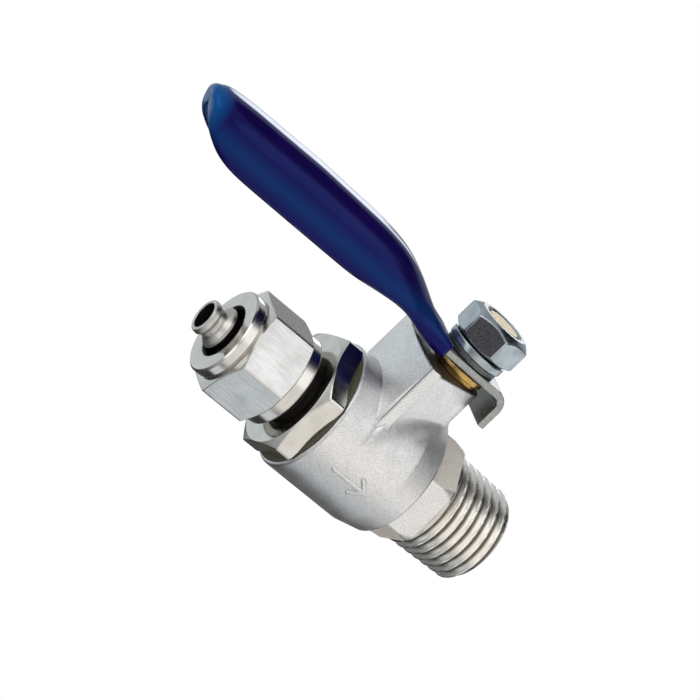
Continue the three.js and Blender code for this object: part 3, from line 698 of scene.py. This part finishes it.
def make_body():
    body = surface_mesh("valve_body_casting", casting_field, (-10.8, -9.4, -9.4), (9.2, 9.4, 14.9), 0.16)
    outline = round_corners([
        (7.9, 2.6), (7.9, 5.3), (FRONT_X - 0.1, 5.3), (FRONT_X + 0.02, PIPE_R),
        (THREAD_END_X - 1.1, PIPE_R), (THREAD_END_X, 5.45, 0.2), (THREAD_END_X, 2.6)], 0.04)
    thread = turned("thread", "x", resample(outline, 0.055), 224,
                    shape=thread_shape(FRONT_X, PIPE_PITCH, PIPE_DEPTH))
    boolean(body, thread, "UNION")
    bore = turned("bore", "x", round_corners([
        (REAR_X - 1, 0, 0), (REAR_X - 1, SOCKET_R), (SOCKET_X, SOCKET_R), (SOCKET_X, CHAMBER_R),
        (5, CHAMBER_R), (5, BORE_R), (THREAD_END_X - 0.6, BORE_R, 0.3), (THREAD_END_X, BORE_R + 0.5, 0),
        (THREAD_END_X + 1, BORE_R + 1.3, 0), (THREAD_END_X + 1, 0, 0)], 0.05), 128)
    boolean(body, bore, "DIFFERENCE")
    stem_hole = turned("stem_hole", "z", round_corners([
        (2, 0, 0), (2, FLANGE_POCKET_R), (FLANGE_POCKET_Z, FLANGE_POCKET_R),
        (FLANGE_POCKET_Z, STEM_HOLE_R), (BOSS_TOP + 1, STEM_HOLE_R),
        (BOSS_TOP + 1, 0, 0)], 0.05), 96)
    boolean(body, stem_hole, "DIFFERENCE")
    mesh = body.data
    mesh.shade_smooth()
    mesh.set_sharp_from_angle(angle=math.radians(48))
    finish(body, "cast machined thread milled stained", "valve", "cast_body", "valve_body")
    mark_machined(mesh)
    arrow = surface_mesh("raised_flow_arrow", arrow_field, (-6.8, -9.4, -5), (-0.6, -7, 1.2), 0.09, 60)
    finish(arrow, "cast", "valve", "cast_body")


def mark_machined(mesh):
    """Machined bores, cut thread, milled slanted flats lightened with painted light, and tops under the
    lever darkened with painted shade. The rest is as cast.
    """
    (x, y, z), (nx, ny, nz) = face_data(mesh)
    radial = np.hypot(y, z)
    bright = (x > FRONT_X - 0.25) | ((radial < SOCKET_R + 0.1) & (y * ny + z * nz < 0.3) & (z < BARREL_R))
    bright |= (np.hypot(x, y) < STEM_HOLE_R + 0.1) & (z > 5)
    index = bright.astype(np.int32)
    index[(x > FRONT_X + 0.45) & (radial > BORE_R + 0.7)] = 2
    # Painted light: the slanted wrench flats take the light milled paint.
    top_flats = np.abs(nz) * math.cos(math.pi / 6) + np.abs(ny) * math.sin(math.pi / 6) > 0.985
    index[(x > WRENCH_X) & (x < FRONT_X - 0.1) & top_flats] = 3
    # Painted shade: the tops under the lever take the dark top paint.
    index[(z > BOSS_TOP - 0.3) & (nz > 0.75)] = 4
    mesh.polygons.foreach_set("material_index", index)


def face_data(mesh):
    """Face centres in millimetres about the stem axis, and face normals, each as x, y and z rows."""
    count = len(mesh.polygons)
    centres, normals = np.empty(count * 3, np.float32), np.empty(count * 3, np.float32)
    mesh.polygons.foreach_get("center", centres)
    mesh.polygons.foreach_get("normal", normals)
    return (centres.reshape(-1, 3) / MM - [STEM_AXIS_X, 0, 0]).T, normals.reshape(-1, 3).T


# ---- tube end ----
def make_tube_end():
    make_adapter()
    make_tube_nut()
    make_gasket()


def make_adapter():
    adapter = round_corners([
        (TIP_X, ADAPTER_BORE_R, 0.15), (TIP_X, 2.16, 0.45), (TIP_X + 0.7, 2.26, 0.3),
        (TIP_X + 1.05, 2.02, 0.35), (TIP_X + 1.7, 2.04, 0.6), (RIDGE_X - 0.45, 2.7, 0.3),
        (RIDGE_X - 0.05, 2.76, 0.15), (RIDGE_X, 2.2, 0.1), (BARB_ROOT_X, 2.05, 0.2), (STUD_X, 3.6, 0.1),
        (STUD_X, STUD_R - 0.4), (STUD_X + 0.4, STUD_R), (HEX_X0 - 0.8, STUD_R), (HEX_X0 - 0.8, STUD_R - 0.6),
        (HEX_X0, STUD_R - 0.6, 0.2), (HEX_X0, ADAPTER_FLATS / 2 - 0.1, 0.15),
        (HEX_X0 + 0.75, HEX_CORNER_R, 0.1), (HEX_X1 - 0.1, HEX_CORNER_R, 0.05),
        (HEX_X1, HEX_CORNER_R - 0.2, 0.05), (HEX_X1, SOCKET_R - 0.05),
        (SOCKET_X - 0.1, SOCKET_R - 0.05), (SOCKET_X - 0.1, CHAMBER_R - 0.1), (PLUG_X, CHAMBER_R - 0.1),
        (PLUG_X, PORT_R), (HEX_X0 + 1, PORT_R), (HEX_X0, ADAPTER_BORE_R)], 0.1)
    adapter = turned("adapter_with_barb", "x", resample(adapter, 0.09), 240, ADAPTER_FLATS, ADAPTER_TURN,
                     (HEX_X0 - 0.05, HEX_X1 + 0.05), stud_shape)
    finish(adapter, "polished shadow satin", "valve", "plated_brass", "tube_adapter")
    # Painted shade: near-black in the recess between the nut and the hexagon, in the bore and in the neck
    # behind the ridge.
    paint_faces(adapter.data, lambda x, radius, normal: np.select(
        [(x > NUT_REAR - 0.2) & (x < HEX_X0 - 0.02) & (radius < STUD_R + 0.1),
         radius < ADAPTER_BORE_R + 0.02,
         (x > RIDGE_X) & (x < STUD_X + 0.05), x < NUT_REAR], [1, 1, 1, 2]))


def make_tube_nut():
    neck = NUT_COLLAR_R - 0.17
    nut = round_corners([
        (NUT_FRONT, NUT_HOLE_R + 0.3, 0.1), (NUT_FRONT, NUT_COLLAR_R - 0.23, 0.05),
        (NUT_FRONT + 0.23, NUT_COLLAR_R, 0.05), (NUT_COLLAR - 0.25, NUT_COLLAR_R, 0.1),
        (NUT_COLLAR - 0.17, neck, 0.08), (NUT_COLLAR, neck, 0.08),
        (NUT_COLLAR + 0.03, NUT_COLLAR_R + 0.25, 0.06),
        (NUT_COLLAR + 0.42, NUT_CORNER_R, 0.1), (NUT_HEX_END - 0.35, NUT_CORNER_R, 0.1),
        (NUT_HEX_END + 0.2, NUT_REAR_R, 0.08), (NUT_REAR, NUT_REAR_R, 0.25),
        (NUT_REAR, STUD_R + STUD_CLEARANCE, 0.1), (STUD_X - 0.4, STUD_R + STUD_CLEARANCE),
        (NUT_FRONT + 1.9, NUT_HOLE_R), (NUT_FRONT + 0.35, NUT_HOLE_R, 0.1)], 0.08)
    nut = turned("hexagon_tube_nut", "x", resample(nut, 0.09), 240, NUT_FLATS, NUT_TURN,
                 (NUT_COLLAR, NUT_HEX_END + 0.25))
    finish(nut, "brushed polished worn shadow", "tube_nut", "plated_nut", "tube_nut")
    paint_faces(nut.data, nut_paint)


def make_gasket():
    low, high, inner = HEX_X1 + 0.02, REAR_X - 0.02, SOCKET_R + 0.05
    gasket = round_corners([(low, inner), (low, GASKET_R), (high, GASKET_R), (high, inner)], 0.08)
    gasket = turned("adapter_gasket_ring", "x", gasket, 128)
    finish(gasket, "gasket", "valve", "gasket", "adapter_gasket")


def stud_shape(along, radius, angle):
    """The clamp nut's thread on the adapter's stud."""
    phase = (along / FINE_PITCH - angle / (2 * math.pi)) % 1
    threaded = (along > STUD_X + 0.45) & (along < HEX_X0 - 0.85) & (radius > STUD_R - 0.05)
    return np.where(threaded, radius - 0.32 * (1 - np.abs(phase * 2 - 1)), radius)


def nut_paint(x, radius, normal):
    """Brushed flats, the top one darker with wear and painted shade; bright turned collars, chamfers and
    faces; painted shade inside.
    """
    turned_face = (np.abs(normal[0]) > 0.1) | (x < NUT_COLLAR + 0.1) | (x > NUT_HEX_END + 0.1)
    inside = (radius < 3.65) & (x > NUT_FRONT + 0.1)
    return np.select([inside, turned_face, normal[2] > 0.95], [3, 1, 2])


def paint_faces(mesh, choose):
    """Sets each face's material from its place along the flow axis, distance from it, and its normal."""
    (x, y, z), normals = face_data(mesh)
    chosen = choose(x, np.hypot(y, z), normals)
    mesh.polygons.foreach_set("material_index", chosen.astype(np.int32))


# ---- stem, washers and nut ----
def ring(name, low, high, inner, outer, radius=0.12, step=None, steps=128):
    outline = round_corners([(low, inner), (low, outer), (high, outer), (high, inner)], radius, 4)
    return turned(name, "z", outline if step is None else resample(outline, step), steps)


def make_stack():
    make_collar()
    make_washers()
    make_stem_nut()
    make_stem()


def make_collar():
    collar = round_corners([
        (BOSS_TOP + 0.05, STEM_R + 0.1), (BOSS_TOP + 0.05, 3.2), (BOSS_TOP + 0.55, 3.2, 0.05),
        (BOSS_TOP + 0.6, COLLAR_R, 0.12), (COLLAR_TOP, COLLAR_R, 0.15), (COLLAR_TOP, STEM_R + 0.1)], 0.05)
    collar = turned("brass_collar", "z", collar, 128)
    finish(collar, "brass shadow", "lever", "brass", "stem_collar")
    # Painted shade: the collar's underside is near-black.
    paint_faces(collar.data, lambda x, radius, normal: np.where(normal[2] < -0.5, 1, 0))


def make_washers():
    # Painted shade: the thin washer is dark for the shaded band under the spring washer.
    washer = ring("thin_washer", WASHER_Z, SPRING_Z - 0.05, STEM_R + 0.1, 3.7, 0.06)
    finish(washer, "dark", "lever", "dark_steel", "flat_washer")

    spring = ring("split_washer", SPRING_Z, STEM_NUT_Z - 0.05, STEM_R + 0.15, 3.9, 0.14, 0.15, 144)
    boolean(spring, wedge_cutter(), "DIFFERENCE")
    spring.data.shade_smooth()
    spring.data.set_sharp_from_angle(angle=math.radians(45))
    finish(spring, "zinc", "lever", "zinc_steel", "spring_washer")


def make_stem_nut():
    z0, z1 = STEM_NUT_Z, STEM_NUT_Z + STEM_NUT_HEIGHT
    outline = round_corners([
        (z0 + 0.02, STEM_R + 0.06), (z0 + 0.02, 3.45, 0.15), (z0 + 0.8, STEM_NUT_CORNER_R, 0.1),
        (z1 - 1.05, STEM_NUT_CORNER_R, 0.1),
        (z1, 3.35, 0.15), (z1, 2.75, 0.05), (z1 - 0.25, STEM_R + 0.06, 0.05)], 0.08)
    nut = turned("stem_hexagon_nut", "z", resample(outline, 0.08), 216, STEM_NUT_FLATS, 30 + STEM_NUT_TURN,
                 (z0, z1 + 0.01), edge=0.25)
    finish(nut, "zinc scuffed sheet", "lever", "zinc_steel", "stem_nut")
    # Painted shade: the flat facing the camera takes the dark near-flat paint, and the top face the darker
    # lever sheet paint.
    near_flat = math.radians(STEM_NUT_TURN - 120)
    paint_faces(nut.data, lambda x, radius, normal: np.select(
        [normal[0] * math.cos(near_flat) + normal[1] * math.sin(near_flat) > 0.97, normal[2] > 0.9], [1, 2]))


def make_stem():
    half, floor_r = O_RING_GROOVE / 2, STEM_R - O_RING_DEPTH
    grooves = [(z, r) for at in O_RING_HEIGHTS for z, r in (
        (at - half, STEM_R), (at - half, floor_r), (at + half, floor_r), (at + half, STEM_R))]
    outline = round_corners([
        (STEM_FLANGE_Z0, 0, 0), (STEM_FLANGE_Z0, STEM_FLANGE_R), (STEM_FLANGE_Z1, STEM_FLANGE_R),
        (STEM_FLANGE_Z1, STEM_R), *grooves, (STEM_TOP - 0.35, STEM_R, 0.1),
        (STEM_TOP, STEM_R - 0.3, 0.1), (STEM_TOP, 0, 0)], 0.06)
    stem = turned("brass_stem", "z", resample(outline, 0.12), 96, shape=stem_shape)
    finish(stem, "brass cut_brass", "lever", "brass", "stem")
    paint_faces(stem.data, lambda x, radius, normal: np.where(normal[2] > 0.9, 1, 0))


def stem_shape(along, radius, angle):
    """Two flats carry the lever; above them the stem has an M5 thread."""
    reach = STEM_FLATS / 2 / np.maximum(np.abs(np.sin(angle)), 1e-3)
    flats = (along > COLLAR_TOP - 0.1) & (along < PLATE_Z + SHEET + 0.1)
    phase = (along / FINE_PITCH - angle / (2 * math.pi)) % 1
    threaded = (along > WASHER_Z) & (along < STEM_TOP - 0.3) & (radius > STEM_R - 0.2)
    radius = np.where(threaded, radius - 0.28 * (1 - np.abs(phase * 2 - 1)), radius)
    return np.where(flats, np.minimum(radius, reach), radius)


def wedge_cutter():
    """A slanted slab that opens the spring washer."""
    corners = np.array([(x, y, z) for x in (-0.22, 0.22) for y in (1.5, 5.5) for z in (16, 19)], float)
    corners[:, 0] += (corners[:, 2] - 17.6) * 0.5
    return mesh_object("wedge", corners, np.array(BOX_FACES))


# ---- ball and seats, seen through the bores ----
def ball_field(x, y, z):
    ball = np.sqrt(x * x + y * y + z * z) - BALL_R
    ball = round_max(ball, PORT_R - np.hypot(y, z), 0.15)
    return round_max(ball, -np.maximum(np.abs(x) - 1.05, 3.5 - z), 0.1)


def make_inside():
    ball = surface_mesh("polished_ball", ball_field, (-5.3,) * 3, (5.3,) * 3, 0.16, 60)
    finish(ball, "polished", "lever", "plated_ball", "ball")
    for name, side in (("seat_inlet", -1), ("seat_outlet", 1)):
        touch = BALL_R + 0.09
        face = [(side * touch * math.cos(math.radians(a)), touch * math.sin(math.radians(a)), 0)
                for a in (32, 36, 40, 44, 48, 52, 56)]
        back, rim = side * 4.97, CHAMBER_R - 0.08
        outline = face + [(face[-1][0], rim, 0.08), (back, rim, 0.08), (back, face[0][1], 0.08)]
        seat = turned(name + "_ring", "x", round_corners(outline, 0.08), 128)
        finish(seat, "ptfe", "valve", "ptfe", name)
    seals = (("thrust_washer", "ptfe"), ("stem_o_ring_lower", "rubber"), ("stem_o_ring_upper", "rubber"))
    for name, paint in seals:
        node = frame["nodes"][name]
        node.data.materials.clear()
        node.data.materials.append(PAINTS[paint])


# ---- lever ----
def make_lever():
    steel = surface_mesh("lever_sheet", lever_field, (-46.5, -4.6, 11.2), (6.6, 4.6, 22.5), 0.17, 50)
    finish(steel, "sheet tarnish", "lever", "lever_steel", "lever")
    # Painted shade: the inner face of the tab is darkened.
    paint_faces(steel.data, lambda x, radius, normal: np.where((x > 3) & (normal[0] < -0.4), 1, 0))
    sleeve = surface_mesh("dipped_vinyl_grip", sleeve_field, (-46.9, -5, 14.6), (-3.6, 5, 22.9), 0.15, 60)
    finish(sleeve, "vinyl", "lever", "vinyl", "lever_sleeve")


# ---- studio ----
def white_object(name, points, faces):
    """A staged shape that glows plain white for the camera and doesn't light or mirror in the part."""
    obj = mesh_object(name, points, np.array(faces))
    material = bpy.data.materials.new(name)
    material.use_nodes = True
    tree = material.node_tree
    tree.nodes.clear()
    emission = tree.nodes.new("ShaderNodeEmission")
    emission.inputs[0].default_value, emission.inputs[1].default_value = (1, 1, 1, 1), 1.0
    tree.links.new(emission.outputs[0], tree.nodes.new("ShaderNodeOutputMaterial").inputs[0])
    obj.data.materials.append(material)
    obj.visible_diffuse = obj.visible_glossy = obj.visible_transmission = obj.visible_shadow = False


def add_floor():
    """A plain pale floor and a pale surround, seen by the camera only."""
    size, low = 1500, -450
    square = [(-size, -size), (size, -size), (size, size), (-size, size)]
    corners = np.array([(x, y, low) for x, y in square], float)
    white_object("floor", corners, [(0, 1, 2, 3)])
    cube = np.array([(x, y, z) for x in (-size, size) for y in (-size, size) for z in (-size, size)], float)
    white_object("surround", cube, BOX_FACES)


# The world's soft light. Each patch has a direction, an inner and an outer angle in degrees, a colour and a
# brightness. A later patch covers an earlier one.
AMBIENT = ((0.94, 0.97, 1.0), 0.5)
PATCHES = [
    ((0.20, 0.30, -0.93), 25, 70, (0.95, 0.97, 1.0), 0.05),
    ((0.42, -0.90, -0.10), 22, 44, (1.0, 0.975, 0.94), 0.95),
    ((0.97, 0.0, -0.25), 16, 34, (0.97, 0.98, 1.0), 1.0),
    ((0.42, -0.25, -0.86), 7, 20, (0.90, 0.96, 1.0), 0.85),
    ((-0.42, 0.88, -0.15), 14, 34, (0.88, 0.96, 1.0), 0.76),
    ((-0.80, -0.10, 0.60), 14, 34, (1, 1, 1), 1.7),
    ((-0.88, -0.42, -0.22), 8, 20, (1, 1, 1), 1.4),
    ((0.42, -0.62, 0.66), 13, 24, (1, 1, 1), 1.3),
    ((0.42, 0.86, 0.27), 5, 11, (0.88, 0.94, 1.0), 3.0),
    ((0.42, 0.20, 0.88), 16, 29, (0.6, 0.8, 1.0), 0.012),
    ((0.84, -0.20, 0.48), 13, 33, (0.9, 0.95, 1.0), 0.06),
    ((0.42, 0.76, -0.48), 12, 28, (1.0, 0.95, 0.9), 0.08),
    ((0.42, 0.88, -0.24), 6, 13, (1.0, 0.95, 0.9), 0.03),
    ((-0.63, -0.75, -0.21), 6, 13, (1.0, 0.9, 0.95), 0.04),
]


def add_world():
    world = bpy.data.worlds.new("studio")
    bpy.context.scene.world = world
    world.use_nodes = True
    tree = world.node_tree
    background = tree.nodes["Background"]
    look = tree.nodes.new("ShaderNodeTexCoord").outputs["Generated"]

    def cap(direction, inner, outer):
        dot = tree.nodes.new("ShaderNodeVectorMath")
        dot.operation = "DOT_PRODUCT"
        tree.links.new(look, dot.inputs[0])
        dot.inputs[1].default_value = Vector(direction).normalized()
        limits = tree.nodes.new("ShaderNodeMapRange")
        limits.interpolation_type = "SMOOTHSTEP"
        tree.links.new(dot.outputs["Value"], limits.inputs[0])
        limits.inputs[1].default_value = math.cos(math.radians(outer))
        limits.inputs[2].default_value = math.cos(math.radians(inner))
        return limits.outputs[0]

    def mix(factor, a, b):
        node = tree.nodes.new("ShaderNodeMix")
        node.data_type = "RGBA"
        node.clamp_result = False
        for socket, value in ((node.inputs[0], factor), (node.inputs[6], a), (node.inputs[7], b)):
            if hasattr(value, "links"):
                tree.links.new(value, socket)
            else:
                socket.default_value = value
        return node.outputs[2]

    colour = (*(c * AMBIENT[1] for c in AMBIENT[0]), 1)
    for direction, inner, outer, tint, level in PATCHES:
        colour = mix(cap(direction, inner, outer), colour, (*(c * level for c in tint), 1))
    tree.links.new(colour, background.inputs[0])
    background.inputs[1].default_value = 1.0


add_camera()
bpy.context.scene.view_settings.view_transform = "Standard"
make_body()
make_tube_end()
make_stack()
make_inside()
make_lever()
add_world()
add_floor()
